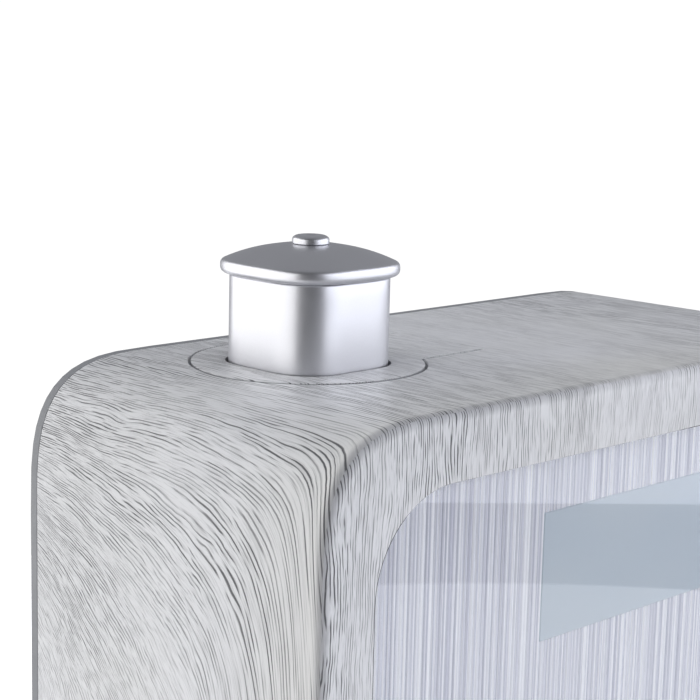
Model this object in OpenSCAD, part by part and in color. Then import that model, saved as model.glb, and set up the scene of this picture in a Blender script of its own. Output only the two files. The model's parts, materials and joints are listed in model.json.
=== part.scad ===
// Cool mist humidifier: a wood-grain box with a fixed top-fill tank, an ultrasonic mist basin below it
// and a square metal nozzle that stands in a lift-off keyhole cover.
// Millimetres, +Z up. X runs across the front, Y towards the back. The origin is under the middle of the feet.

/* [Body] */
// Width of the body across the front
body_w = 312; // [300:1:330]
// Height of the body without its feet
body_h = 270; // [260:1:290]
// Depth of the body from front to back
body_d = 140; // [138:1:146]
// Length over which each outer corner turns
corner_l = 50.4; // [44:0.2:54]
// Superellipse exponent of the outer corners
corner_n = 3.35; // [2:0.05:4]
// Thickness of the shell and the front frame
wall = 3; // [2.5:0.1:3.4]
// Thickness of the rear cover, which shows as a strip along the back edge
rear_t = 3.5; // [3:0.1:4]
// Height of the rubber feet
foot_h = 4; // [3:0.5:5]

/* [Front window] */
// Width of wood frame around the window
window_margin = 22; // [20:0.5:26]
// Corner radius of the window
window_r = 32; // [24:1:36]
// Spacing of the coarse ribs behind the window
rib_pitch = 7; // [6:0.5:9]
// Width of the display lens
lens_w = 110; // [90:1:120]
// Height of the display lens
lens_h = 43; // [38:1:48]
// Distance from the body's top down to the display lens
lens_drop = 40; // [38:1:46]

/* [Top] */
// Nozzle axis, across the body
nozzle_x = -82; // [-84:1:-78]
// Nozzle axis, front to back
nozzle_y = 15; // [12:1:16]
// Radius of the round part of the keyhole cover
cover_r = 40; // [39:0.5:41]
// Distance from the nozzle axis to the end of the cover's finger tab
tab_l = 66; // [60:1:72]
// Width of the finger tab
tab_w = 42; // [36:1:46]
// Gap around the keyhole cover
cover_gap = 0.7; // [0.5:0.1:1]
// Width of the square nozzle tube
tube_w = 47; // [46:0.5:47]
// Corner radius of the nozzle tube
tube_r = 15.5; // [14:0.5:17]
// Height of the nozzle tube above the body
tube_rise = 29.7; // [24:0.1:34]
// Width of the nozzle lid
lid_w = 53.4; // [52:0.2:56]
// Height of the lid's dome above the body
lid_rise = 39.9; // [37:0.1:42]
// Diameter of the lid knob
knob_d = 12.5; // [10:0.5:14]

/* [Tank and basin] */
// Width of the water tank
tank_w = 276; // [270:1:278]
// Height of the tank floor above the table
tank_z = 64; // [64:1:64]
// Wall of the tank and the basin
tank_wall = 2.5; // [2:0.1:3]
// Radius of the fill mouth under the keyhole cover
mouth_r = 36.5; // [36:0.1:37]
// Bore radius of the mist duct through the tank
duct_r = 17; // [16.8:0.1:17.4]
// Angle at which the inlet float hangs when the basin is empty
float_sag = 8; // [4:1:9]

/* [Fan] */
// Fan axis, across the body
fan_x = 62; // [60:1:64]
// Fan axis height above the table
fan_z = 36; // [36:0.5:36.5]
// Number of impeller blades
blades = 28; // [16:1:32]

/* [Hidden] */

$fn = 64;
eps = 0.5;             // how far a cut runs past a face
steps = 12;            // segments in each superellipse corner

// Colours
wood = "#c9c8c6";
metal = "#d4d5d9";
grey_plastic = "#8b8d90";
white_plastic = "#e6e7ea";
rubber_grey = "#4b4d50";
board_green = "#2d6b46";
steel = "#b9bcc0";
clear_blue = "#cfe0ea";

// Main planes
front = -body_d / 2;
back = body_d / 2;
shell_back = back - rear_t;
bottom = foot_h;
top = foot_h + body_h;
inner_top = top - wall;
floor_z = bottom + wall;
inner_w = body_w - 2 * wall;
body_mid_z = foot_h + body_h / 2;

// Front window and display, as distances behind the front face
window_w = body_w - 2 * 21.5;
window_h = body_h - 2 * window_margin;
window_flange = 4;     // hidden border of the window behind the frame
window_back = front + wall + 1.5;
sheet_front = window_back + 0.6;
sheet_back = sheet_front + 1.7;
lens_z = top - lens_drop - lens_h / 2;
display_border = 3.5;
board_y = sheet_back + 6.2;

// Keyhole cover, nozzle and lid
ledge_t = 2.2;
ledge_r = 36;
cover_skirt_r = 34;
cover_hole_w = tube_w + 0.8;
tube_t = 1.5;
tube_top = top + tube_rise - 0.3;
nozzle_base = top - 10;
spigot_r = duct_r - 0.4;
lid_low = top + tube_rise;
lid_rim = 5;
lid_pocket_r = 18;
lid_top = top + lid_rise;
lid_dome_h = lid_top - lid_low - lid_rim;
lid_dome_r = (pow(lid_w / 2, 2) + pow(lid_dome_h, 2)) / (2 * lid_dome_h);

// Tank
tank_front = -49;
tank_back = 61;
tank_top = top - 10;
tank_split = tank_top - 42;
tank_corner = 38;
neck_top = top - 5.5;
duct_top = top - 12;
drain_z = tank_z + 12;
drain_r = 7;
outlet_x = -40;
outlet_y = -18;
outlet_z = tank_z - 6.7;

// Basin
basin_x0 = -142;
basin_x1 = -22;
basin_y0 = -45;
basin_y1 = 58;
basin_low = 26;
basin_high = tank_z - 2;
basin_floor = basin_low + tank_wall;
hood_r = 24;
disc_r = 10.5;
pin_y = -38;
pin_z = 50;
pin_r = 1.5;
level_x = -120;
level_y = -22;
post_r = 2.5;
float_low = basin_floor + 0.5;

// Fan and its duct, front to back
scroll_r = 24;
scroll_y0 = 28;
scroll_y1 = 52;
fan_cover_y = 54;
fan_wall = 2;
duct_z0 = 44;
duct_z1 = 60;
outlet_x0 = 26;
shaft_r = 1.5;
bearing_clearance = 0.03;
hub_r = 13;
wheel_r = 20.5;

// Rear openings
door_w = 74;
door_h = 46;
door_z = 36;
socket_x = 118;
socket_z = 40;
socket_w = 24;
socket_h = 20;

// Chassis and boards
chassis_low = floor_z + 0.5;
chassis_high = floor_z + 3;
pcb_t = 1.6;
pcb_z = 14;
foot_x = 95;
foot_y = 48;
basin_posts = [[-112, -38], [-112, 50], [-30, -38], [-30, 50]];
tank_posts = [[0, -55], [0, 58.6], [126, -54], [126, 34]];
pillar_r = 4;
board_holes = [[12, -52], [72, -52], [12, 12], [72, 12], [88, -46], [116, -46], [88, 16], [116, 16],
    [-57, -31], [-41, -31], [-57, 41], [-41, 41]];
rear_screws = [for (sx = [-1, 1], z = [70, 139, 208]) [sx * 148.6, z]];
display_holes = [for (sx = [-1, 1], sz = [-1, 1])
    [sx * (lens_w / 2 + 1.2), lens_z + sz * (lens_h / 2 + 1.2)]];

// A box from its lowest to its highest corner
module block(low, high) {
    translate(low) cube(high - low);
}

// A 2-D outline in the X-Z plane, extruded from y0 to y1
module along_y(y0, y1) {
    translate([0, y1, 0]) rotate([90, 0, 0]) linear_extrude(y1 - y0) children();
}

// A 2-D outline in the X-Y plane, extruded from z0 to z1
module along_z(z0, z1) {
    translate([0, 0, z0]) linear_extrude(z1 - z0) children();
}

// A round bar along Y
module rod_y(x, z, r, y0, y1) {
    translate([x, y0, z]) rotate([-90, 0, 0]) cylinder(h = y1 - y0, r = r);
}

// A round bar along X
module rod_x(y, z, r, x0, x1) {
    translate([x0, y, z]) rotate([0, 90, 0]) cylinder(h = x1 - x0, r = r);
}

// A round bar along Z
module rod_z(x, y, r, z0, z1) {
    translate([x, y, z0]) cylinder(h = z1 - z0, r = r);
}

// A tube along Z
module tube_z(x, y, r_out, r_in, z0, z1) {
    difference() {
        rod_z(x, y, r_out, z0, z1);
        rod_z(x, y, r_in, z0 - eps, z1 + eps);
    }
}

// A tube along Y
module tube_y(x, z, r_out, r_in, y0, y1) {
    difference() {
        rod_y(x, z, r_out, y0, y1);
        rod_y(x, z, r_in, y0 - eps, y1 + eps);
    }
}

// A wire that runs through a list of points, with a slightly fuller bend at each
module wire(points, r) {
    for (i = [1:len(points) - 1]) {
        run = points[i] - points[i - 1];
        length = norm(run);
        translate(points[i - 1])
            rotate([0, acos(run.z / length), atan2(run.y, run.x)])
                cylinder(h = length, r = r, $fn = 16);
        if (i < len(points) - 1)
            translate(points[i]) sphere(r = r + 0.25, $fn = 16);
    }
}

// One superellipse corner about a centre, run from side to top or back
function corner_points(cx, cz, sx, sz, l, forward) =
    [for (i = [0:steps]) let (t = 90 * (forward ? i : steps - i) / steps)
        [cx + sx * l * pow(cos(t), 2 / corner_n), cz + sz * l * pow(sin(t), 2 / corner_n)]];

// Outline of the body, or of anything concentric with it, in the X-Z plane
module body_outline(w, low, high, l_low, l_high) {
    polygon(concat(
        corner_points(w / 2 - l_high, high - l_high, 1, 1, l_high, true),
        corner_points(l_high - w / 2, high - l_high, -1, 1, l_high, false),
        corner_points(l_low - w / 2, low + l_low, -1, -1, l_low, true),
        corner_points(w / 2 - l_low, low + l_low, 1, -1, l_low, false)));
}

// The body's outline pulled in by a distance
module body_inset(inset) {
    body_outline(body_w - 2 * inset, bottom + inset, top - inset, corner_l - inset, corner_l - inset);
}

// A rectangle with round corners, about its centre
module rounded(w, h, r) {
    square([w - 2 * r, h], center = true);
    square([w, h - 2 * r], center = true);
    for (sx = [-1, 1], sz = [-1, 1])
        translate([sx * (w / 2 - r), sz * (h / 2 - r)]) circle(r = r);
}

// The window's outline grown by a distance
module window_outline(grow) {
    translate([0, body_mid_z]) rounded(window_w + 2 * grow, window_h + 2 * grow, window_r + grow);
}

// The display lens's outline grown by a distance
module lens_outline(grow) {
    translate([0, lens_z]) square([lens_w + 2 * grow, lens_h + 2 * grow], center = true);
}

// The keyhole outline, a disc with a finger tab to its right, grown by a distance
module keyhole(grow) {
    translate([nozzle_x, nozzle_y]) {
        circle(r = cover_r + grow, $fn = 96);
        translate([tab_l / 2, 0]) rounded(tab_l + 2 * grow, tab_w + 2 * grow, 2 + grow);
    }
}

// The nozzle's rounded square about its axis
module nozzle_square(w, r) {
    translate([nozzle_x, nozzle_y]) rounded(w, w, r);
}

// A screw with a round head, pointing along +Z
module screw(r, length, head_r, head_h) {
    difference() {
        union() {
            cylinder(h = head_h, r = head_r, $fn = 32);
            translate([0, 0, head_h]) cylinder(h = length, r = r, $fn = 32);
        }
        for (a = [0, 90])
            rotate([0, 0, a]) translate([-head_r * 0.6, -0.35, -eps]) cube([head_r * 1.2, 0.7, eps + 0.8]);
    }
}

// A bare circuit board with its screw holes, lying flat
module flat_board(low, high, holes) {
    difference() {
        block([low.x, low.y, pcb_z], [high.x, high.y, pcb_z + pcb_t]);
        for (p = holes) rod_z(p.x, p.y, 1.6, pcb_z - eps, pcb_z + pcb_t + eps);
    }
}

// Wood-finished sleeve and front frame in one moulding
module outer_shell() color(wood) {
    difference() {
        union() {
            difference() {
                along_y(front, shell_back) body_inset(0);
                along_y(front + wall, shell_back + eps) body_inset(wall);
            }
            along_z(inner_top - ledge_t, inner_top) keyhole(4);
            for (p = rear_screws) rod_y(p.x, p.y, 4.5, 52, shell_back);
        }
        along_y(front - eps, front + wall + eps) window_outline(0);
        along_z(inner_top, top + eps) keyhole(0);
        rod_z(nozzle_x, nozzle_y, ledge_r, inner_top - ledge_t - eps, inner_top + eps);
        for (p = rear_screws) rod_y(p.x, p.y, 1.3, 56, shell_back + eps);
        for (sx = [-1, 1], sy = [-1, 1])
            rod_z(sx * foot_x, sy * foot_y, 1.7, bottom - eps, floor_z + eps);
    }
}

// Grey back panel with its intake, socket, drain and sensor openings
module rear_cover() color(grey_plastic) {
    difference() {
        along_y(shell_back, back) body_inset(0);
        along_y(shell_back - eps, back + eps) {
            translate([fan_x, door_z]) rounded(door_w, door_h, 4);
            translate([socket_x, socket_z]) square([socket_w + 0.4, socket_h + 0.4], center = true);
            translate([0, drain_z]) circle(r = 12);
            for (i = [-2:2]) translate([0, 36 + 4 * i]) rounded(14, 1.8, 0.8);
            for (p = rear_screws) translate(p) circle(r = 1.8);
        }
        for (p = rear_screws) rod_y(p.x, p.y, 3.6, back - 2, back + eps);
    }
}

module rear_cover_screws() color(steel) {
    for (p = rear_screws)
        translate([p.x, back - 0.2, p.y]) rotate([90, 0, 0]) screw(1.25, 10, 3.2, 1.8);
}

// Round feet with a recess for the screw head
module rubber_feet() color(rubber_grey) {
    for (sx = [-1, 1], sy = [-1, 1])
        difference() {
            rod_z(sx * foot_x, sy * foot_y, 9, 0, foot_h);
            rod_z(sx * foot_x, sy * foot_y, 4, -eps, 2.2);
            rod_z(sx * foot_x, sy * foot_y, 1.7, 0, foot_h + eps);
        }
}

module foot_screws() color(steel) {
    for (sx = [-1, 1], sy = [-1, 1])
        translate([sx * foot_x, sy * foot_y, 0.6]) screw(1.25, 10.5, 3.2, 1.6);
}

// Inner tray that carries the basin, the fan, the boards and the tank
module chassis() color(white_plastic) {
    difference() {
        union() {
            block([-118, -60, chassis_low], [118, 62.6, chassis_high]);
            for (sx = [-1, 1], sy = [-1, 1])
                rod_z(sx * foot_x, sy * foot_y, 6, floor_z, pcb_z - 0.6);
            for (p = board_holes) rod_z(p.x, p.y, 3, chassis_high, pcb_z);
        }
        for (sx = [-1, 1], sy = [-1, 1])
            rod_z(sx * foot_x, sy * foot_y, 1.3, floor_z - eps, 13);
        for (p = board_holes) rod_z(p.x, p.y, 1.05, chassis_low - eps, pcb_z + eps);
    }
}

// Pillars that stand on the chassis and carry the basin and the tank
module support_pillars() color(white_plastic) {
    for (p = basin_posts) rod_z(p.x, p.y, pillar_r, chassis_high, basin_low);
    for (p = tank_posts) {
        rod_z(p.x, p.y, pillar_r, chassis_high, tank_z);
        block([min(p.x - 5, 110), p.y - pillar_r, chassis_high], [p.x + 5, p.y + pillar_r, chassis_high + 2]);
    }
}

// Clear panel, flush with the frame, with a hidden flange behind it
module front_window() color(clear_blue, 0.4) {
    along_y(front, front + wall) window_outline(-0.15);
    along_y(front + wall, window_back) window_outline(window_flange);
}

// White sheet with upright ribs and a cut-out for the display lens
module ribbed_panel() color(white_plastic) {
    rib_count = floor(window_w / rib_pitch / 2);
    difference() {
        union() {
            along_y(sheet_front, sheet_back) window_outline(window_flange);
            along_y(sheet_front - 0.5, sheet_front) intersection() {
                window_outline(window_flange - 1);
                for (i = [-rib_count:rib_count])
                    translate([i * rib_pitch - rib_pitch / 4, bottom]) square([rib_pitch / 2, body_h]);
            }
        }
        along_y(sheet_front - 1, sheet_back + eps) lens_outline(0.2);
    }
}

module display_lens() color("#a9b6c0", 0.6) {
    along_y(sheet_front - 0.5, sheet_back) lens_outline(0);
}

// Liquid crystal cell and its light box
module lcd_module() color("#9aa7a9") {
    along_y(sheet_back, sheet_back + 2) lens_outline(-3);
    along_y(sheet_back + 2, board_y - 0.2) lens_outline(-4);
}

// Plastic surround that locates the display behind the lens
module display_frame() color("#3c3e42") {
    difference() {
        along_y(sheet_back, board_y) lens_outline(display_border);
        along_y(sheet_back - eps, board_y + eps) lens_outline(-2.8);
        for (p = display_holes) rod_y(p.x, p.y, 0.95, sheet_back + 1.2, board_y + eps);
    }
}

module display_board() color(board_green) {
    difference() {
        along_y(board_y, board_y + pcb_t) lens_outline(display_border);
        for (p = display_holes) rod_y(p.x, p.y, 1.3, board_y - eps, board_y + pcb_t + eps);
    }
    block([-20, board_y + pcb_t, lens_z - 6], [-6, board_y + pcb_t + 1.4, lens_z + 8]);
    block([20, board_y + pcb_t, lens_z - 22], [32, board_y + pcb_t + 3, lens_z - 16]);
    for (x = [-44, -36, 40, 46])
        block([x, board_y + pcb_t, lens_z - 4], [x + 3, board_y + pcb_t + 1, lens_z + 2]);
}

module display_screws() color(steel) {
    for (p = display_holes)
        translate([p.x, board_y + pcb_t + 1.3, p.y]) rotate([90, 0, 0]) screw(0.9, 5, 1.8, 1.3);
}

// Flat ribbon from the display board down to the control board
module display_cable() color("#d9d9d4") {
    block([21, board_y + pcb_t + 1.3, pcb_z + pcb_t + 4], [31, board_y + pcb_t + 1.7, lens_z - 22]);
}

// Keyhole lid in the same finish as the top, with a skirt for its seal
module top_cover() color(wood) {
    difference() {
        union() {
            intersection() {
                along_z(inner_top + 0.1, top) keyhole(-cover_gap);
                along_y(front, back) body_inset(0);
            }
            tube_z(nozzle_x, nozzle_y, cover_skirt_r, cover_skirt_r - 2, inner_top - 6, inner_top + 0.2);
        }
        along_z(inner_top - eps, top + eps) nozzle_square(cover_hole_w, tube_r - 1);
        rod_z(nozzle_x + tab_l - 6, nozzle_y, 14, inner_top - eps, inner_top + 1.2);
    }
}

module top_cover_seal() color(rubber_grey) {
    tube_z(nozzle_x, nozzle_y, ledge_r - 0.3, cover_skirt_r, inner_top - 5.5, inner_top - 3);
}

// Square metal tube with a floor and a round spigot that drops into the mist duct
module mist_nozzle() color(metal) {
    difference() {
        along_z(nozzle_base, tube_top) nozzle_square(tube_w, tube_r);
        along_z(nozzle_base + 2.5, tube_top + eps) nozzle_square(tube_w - 2 * tube_t, tube_r - tube_t);
        rod_z(nozzle_x, nozzle_y, spigot_r - 1.6, nozzle_base - eps, nozzle_base + 3);
    }
    tube_z(nozzle_x, nozzle_y, spigot_r, spigot_r - 1.6, nozzle_base - 14, nozzle_base);
}

module nozzle_seal() color(rubber_grey) {
    tube_z(nozzle_x, nozzle_y, 19, duct_r, duct_top + 0.1, nozzle_base);
}

// Squircle lid with a shallow dome, a pocket below and a skirt that plugs the tube
module nozzle_lid() color(metal) {
    half = lid_w / 2;
    squircle = [for (i = [0:95]) let (t = 360 * i / 96, c = cos(t), s = sin(t))
        [nozzle_x + half * sign(c) * pow(abs(c), 2 / 3), nozzle_y + half * sign(s) * pow(abs(s), 2 / 3)]];
    difference() {
        union() {
            along_z(lid_low, lid_low + lid_rim) polygon(squircle);
            intersection() {
                rod_z(nozzle_x, nozzle_y, half, lid_low + 1, lid_top + 1);
                translate([nozzle_x, nozzle_y, lid_top - lid_dome_r]) sphere(r = lid_dome_r, $fn = 128);
            }
            along_z(lid_low - 6, lid_low + 1) nozzle_square(tube_w - 2 * tube_t - 3, tube_r - tube_t - 1.5);
        }
        rod_z(nozzle_x, nozzle_y, lid_pocket_r, lid_low - 6 - eps, lid_low + 3);
        rod_z(nozzle_x, nozzle_y, 1.7, lid_low, lid_top + 1);
    }
}

module lid_gasket() color("#9a9da2") {
    difference() {
        along_z(lid_low - 5, lid_low - 2.5) nozzle_square(tube_w - 2 * tube_t - 0.3, tube_r - tube_t - 0.15);
        along_z(lid_low - 6, lid_low - 1) nozzle_square(tube_w - 2 * tube_t - 3, tube_r - tube_t - 1.5);
    }
}

// Button knob with a dimple, seated on the dome
module lid_knob() color(metal) {
    difference() {
        translate([nozzle_x, nozzle_y, lid_top]) rotate_extrude() difference() {
            union() {
                square([knob_d / 2 - 1.2, 2.8]);
                translate([knob_d / 2 - 1.4, 1.4]) circle(r = 1.4, $fn = 32);
            }
            translate([-knob_d, -1]) square([knob_d, 6]);
            translate([0, 4.6]) circle(r = 2.6, $fn = 32);
        }
        rod_z(nozzle_x, nozzle_y, 1.3, lid_top - eps, lid_top + 1.5);
    }
}

module lid_screw() color(steel) {
    translate([nozzle_x, nozzle_y, lid_low + 1.6]) screw(1.25, lid_top + 1.3 - lid_low - 3, 3, 1.4);
}

// Lower part of the tank with the mist duct, the valve seat and the drain spout
module tank_body() color("#dbe8ee", 0.55) {
    difference() {
        union() {
            intersection() {
                difference() {
                    tank_outer();
                    tank_inner();
                }
                block([-body_w, tank_front, tank_z], [body_w, tank_back, tank_split]);
            }
            rod_z(nozzle_x, nozzle_y, duct_r + 2, tank_z, duct_top);
            rod_z(outlet_x, outlet_y, 7, outlet_z, tank_z + 1);
            rod_y(0, drain_z, drain_r + 3, tank_back - 1, 66);
        }
        rod_z(nozzle_x, nozzle_y, duct_r, tank_z - eps, duct_top + eps);
        rod_z(outlet_x, outlet_y, 4.5, outlet_z - eps, tank_z + tank_wall + eps);
        rod_y(0, drain_z, drain_r, tank_back - tank_wall - eps, 66 + eps);
    }
}

module tank_outer() {
    along_y(tank_front, tank_back) body_outline(tank_w, tank_z, tank_top, 10, tank_corner);
}

module tank_inner() {
    along_y(tank_front + tank_wall, tank_back - tank_wall)
        body_outline(tank_w - 2 * tank_wall, tank_z + tank_wall, tank_top - tank_wall,
            10 - tank_wall, tank_corner - tank_wall);
}

// Welded upper part of the tank with the fill neck
module tank_lid() color("#e3edf2", 0.6) {
    difference() {
        union() {
            intersection() {
                difference() {
                    tank_outer();
                    tank_inner();
                }
                block([-body_w, tank_front, tank_split], [body_w, tank_back, tank_top]);
            }
            rod_z(nozzle_x, nozzle_y, mouth_r + 2.3, tank_top - tank_wall, neck_top);
        }
        rod_z(nozzle_x, nozzle_y, mouth_r, tank_top - tank_wall - eps, neck_top + eps);
    }
}

// Push-in plug with a finger bar across its cap
module drain_plug() color(grey_plastic) {
    rod_y(0, drain_z, 5.6, 56, 66.2);
    rod_y(0, drain_z, 6.6, 55, 56);
    difference() {
        rod_y(0, drain_z, 11, 66.2, back);
        for (s = [-1, 1])
            translate([0, back + eps, drain_z]) rotate([90, 0, 0]) linear_extrude(2.5 + eps)
                intersection() {
                    circle(r = 8.5);
                    translate([-12, s > 0 ? 1.5 : -13.5]) square([24, 12]);
                }
    }
}

module drain_seal() color(rubber_grey) {
    tube_y(0, drain_z, drain_r - 0.1, 5.6, 57, 60);
}

// Water tray under the tank where the mist is made
module basin() color(white_plastic) {
    difference() {
        union() {
            block([basin_x0, basin_y0, basin_low], [basin_x1, basin_y1, basin_high]);
            rod_z(nozzle_x, nozzle_y, 18, 20, basin_low);
        }
        difference() {
            block([basin_x0 + tank_wall, basin_y0 + tank_wall, basin_floor],
                [basin_x1 - tank_wall, basin_y1 - tank_wall, basin_high + eps]);
            for (x = [outlet_x - 12, outlet_x + 9])
                block([x, basin_y0 + 1, pin_z - 7], [x + 3, pin_y + 4, pin_z + 6]);
            rod_z(level_x, level_y, post_r, basin_low + 1, 57);
        }
        rod_z(nozzle_x, nozzle_y, 9, basin_low - eps, basin_floor + eps);
        rod_z(nozzle_x, nozzle_y, 12.6, 20 - eps, basin_low);
        for (a = [0, 120, 240])
            translate([nozzle_x, nozzle_y, 20 - eps]) rotate([0, 0, a]) translate([15.2, 0, 0])
                cylinder(h = 5 + eps, r = 1.3);
        rod_x(pin_y, pin_z, pin_r, outlet_x - 12 - eps, outlet_x + 12 + eps);
        block([basin_x1 - 4, 30, 46], [basin_x1 + eps, 52, 58]);
    }
}

module basin_gasket() color(rubber_grey) {
    difference() {
        block([basin_x0, basin_y0, basin_high], [basin_x1, basin_y1, tank_z]);
        block([basin_x0 + 4, basin_y0 + 4, basin_high - eps], [basin_x1 - 4, basin_y1 - 4, tank_z + eps]);
    }
}

// Round hood under the duct that keeps splashes in, with air slots towards the fan
module mist_hood() color(white_plastic) {
    difference() {
        rod_z(nozzle_x, nozzle_y, hood_r, 38, tank_z);
        rod_z(nozzle_x, nozzle_y, hood_r - 1.6, 38 - eps, tank_z - 1.6);
        rod_z(nozzle_x, nozzle_y, duct_r, tank_z - 3, tank_z + eps);
        for (a = [0:30:180])
            translate([nozzle_x, nozzle_y, 50]) rotate([0, 0, a - 60])
                translate([hood_r - 4, -2.5, 0]) cube([8, 5, 9]);
    }
}

// Target plate in the foot of the duct that turns back large drops
module splash_baffle() color(white_plastic) {
    tube_z(nozzle_x, nozzle_y, duct_r - 0.1, duct_r - 1.6, tank_z + 0.2, tank_z + 8);
    rod_z(nozzle_x, nozzle_y, 7, tank_z + 3, tank_z + 5);
    for (a = [0, 120, 240])
        translate([nozzle_x, nozzle_y, tank_z + 3]) rotate([0, 0, a]) translate([5, -1, 0])
            cube([duct_r - 6.2, 2, 2]);
}

module transducer_disc() color(steel) {
    rod_z(nozzle_x, nozzle_y, disc_r, 22.8, 24);
}

module transducer_seal() color(rubber_grey) {
    difference() {
        rod_z(nozzle_x, nozzle_y, 12.5, 20, basin_low);
        rod_z(nozzle_x, nozzle_y, 8.5, 20 - eps, basin_low + eps);
        rod_z(nozzle_x, nozzle_y, disc_r, 22.8, 24);
    }
}

module transducer_retainer() color("#c9a75a") {
    difference() {
        rod_z(nozzle_x, nozzle_y, 18, 18.5, 20);
        rod_z(nozzle_x, nozzle_y, 8.5, 18.5 - eps, 20 + eps);
        for (a = [0, 120, 240])
            translate([nozzle_x, nozzle_y, 18.5 - eps]) rotate([0, 0, a]) translate([15.2, 0, 0])
                cylinder(h = 3, r = 1.6);
    }
}

module transducer_screws() color(steel) {
    for (a = [0, 120, 240])
        translate([nozzle_x, nozzle_y, 17.1]) rotate([0, 0, a]) translate([15.2, 0, 0])
            screw(1.25, 5.5, 2.4, 1.4);
}

// Oscillator board that drives the transducer
module driver_board() color(board_green) {
    flat_board([-60, -34], [-38, 44], [for (i = [8:11]) board_holes[i]]);
    block([-56, -24, pcb_z + pcb_t], [-44, -12, pcb_z + pcb_t + 7]);
    block([-56, -6, pcb_z + pcb_t], [-50, 4, pcb_z + pcb_t + 5]);
    rod_z(-45, 0, 3, pcb_z + pcb_t, pcb_z + pcb_t + 8);
    block([-53, 10, pcb_z + pcb_t], [-43, 13, pcb_z + pcb_t + 8]);
}

// Finned heat sink behind the power transistor
module driver_heat_sink() color(steel) {
    block([-56, 13, pcb_z + pcb_t], [-42, 15, pcb_z + pcb_t + 9]);
    for (x = [-56, -51.9, -47.8, -43.7])
        block([x, 15, pcb_z + pcb_t], [x + 1.7, 34, pcb_z + pcb_t + 9]);
}

// Float arm that closes the tank's outlet as the basin fills
module at_float_rest() {
    translate([0, pin_y, pin_z]) rotate([-float_sag, 0, 0]) translate([0, -pin_y, -pin_z]) children();
}

module inlet_float() color("#f0f0ec") {
    at_float_rest() difference() {
        union() {
            rod_x(pin_y, pin_z, 4, outlet_x - 8.5, outlet_x + 8.5);
            block([outlet_x - 4, pin_y, pin_z], [outlet_x + 4, -7, pin_z + 3]);
            block([outlet_x - 12, -8, pin_z - 9], [outlet_x + 13, 20, pin_z + 4]);
        }
        rod_x(pin_y, pin_z, pin_r + 0.05, outlet_x - 9, outlet_x + 9);
    }
}

module float_pin() color(steel) {
    rod_x(pin_y, pin_z, pin_r, outlet_x - 12, outlet_x + 12);
}

module valve_stopper() color(rubber_grey) {
    at_float_rest() rod_z(outlet_x, outlet_y, 5.5, pin_z + 3, outlet_z - 0.4);
}

// Ring float on a post that carries the magnet of the low-water switch
module level_float() color("#e9a13a") {
    difference() {
        rod_z(level_x, level_y, 12, float_low, float_low + 14);
        rod_z(level_x, level_y, post_r + 0.08, float_low - eps, float_low + 14 + eps);
        rod_z(level_x, level_y, 7, float_low - eps, float_low + 3);
    }
}

module float_magnet() color("#55575a") {
    tube_z(level_x, level_y, 7, 3.4, float_low, float_low + 3);
}

module float_cap() color(white_plastic) {
    rod_z(level_x, level_y, 5, 57, 59);
}

// Reed switch below the basin floor
module level_switch() color(board_green) {
    block([level_x - 8, level_y - 10, basin_low - 1.6], [level_x + 8, level_y + 10, basin_low]);
    rod_x(level_y, basin_low - 3, 1.2, level_x - 7, level_x + 7);
    for (s = [-1, 1])
        block([level_x + 5 * s - 0.6, level_y - 0.6, basin_low - 3],
              [level_x + 5 * s + 0.6, level_y + 0.6, basin_low - 1.6]);
}

// Outline of the blower's scroll and outlet in the X-Z plane, pulled in by a distance
module scroll_outline(inset, outlet_end) {
    translate([fan_x, fan_z]) circle(r = scroll_r - inset, $fn = 96);
    translate([outlet_end, duct_z0 + inset]) square([fan_x - outlet_end, duct_z1 - duct_z0 - 2 * inset]);
}

module fan_housing() color("#2f3134") {
    difference() {
        union() {
            along_y(scroll_y0, scroll_y1) scroll_outline(0, outlet_x0);
            block([fan_x - 18, scroll_y0, chassis_high], [fan_x + 18, scroll_y0 + 10, chassis_high + 6]);
        }
        along_y(scroll_y0 + fan_wall, scroll_y1 + eps) scroll_outline(fan_wall, outlet_x0 - eps);
    }
}

// Back plate of the blower with its round air inlet
module fan_cover() color("#2f3134") {
    difference() {
        along_y(scroll_y1, fan_cover_y) scroll_outline(0, outlet_x0);
        rod_y(fan_x, fan_z, 13.5, scroll_y1 - eps, fan_cover_y + eps);
    }
}

// Cage impeller with a cup hub over the motor
module fan_impeller() color("#3a3d41") {
    difference() {
        union() {
            rod_y(fan_x, fan_z, wheel_r, 34, 35.5);
            rod_y(fan_x, fan_z, hub_r - 1.2, 34, 47);
        }
        rod_y(fan_x, fan_z, hub_r - 2.6, 34 - eps, 45);
        rod_y(fan_x, fan_z, shaft_r, 44, 48);
    }
    tube_y(fan_x, fan_z, wheel_r, wheel_r - 1.4, 48.5, 50);
    for (i = [0:blades - 1])
        translate([fan_x, 0, fan_z]) rotate([0, 360 * i / blades, 0])
            translate([hub_r + 2.5, 35.5, 0]) rotate([0, 25, 0])
                cube([5, 13.2, 0.7]);
}

module fan_shaft() color(steel) {
    rod_y(fan_x, fan_z, shaft_r, 31.5, 47.5);
}

// Stator that stands on the blower's front wall
module fan_motor() color("#b0703a") {
    difference() {
        union() {
            rod_y(fan_x, fan_z, 9.6, 32, 43);
            rod_y(fan_x, fan_z, 4.5, scroll_y0 + fan_wall, 32);
        }
        rod_y(fan_x, fan_z, 2.6, 31, 44);
        for (i = [0:8])
            translate([fan_x, 0, fan_z]) rotate([0, 40 * i, 0]) translate([6, 31.5, -0.6]) cube([5, 12, 1.2]);
    }
}

module fan_bearing() color("#a8793a") {
    tube_y(fan_x, fan_z, 2.6, shaft_r + bearing_clearance, 32, 43);
}

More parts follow.
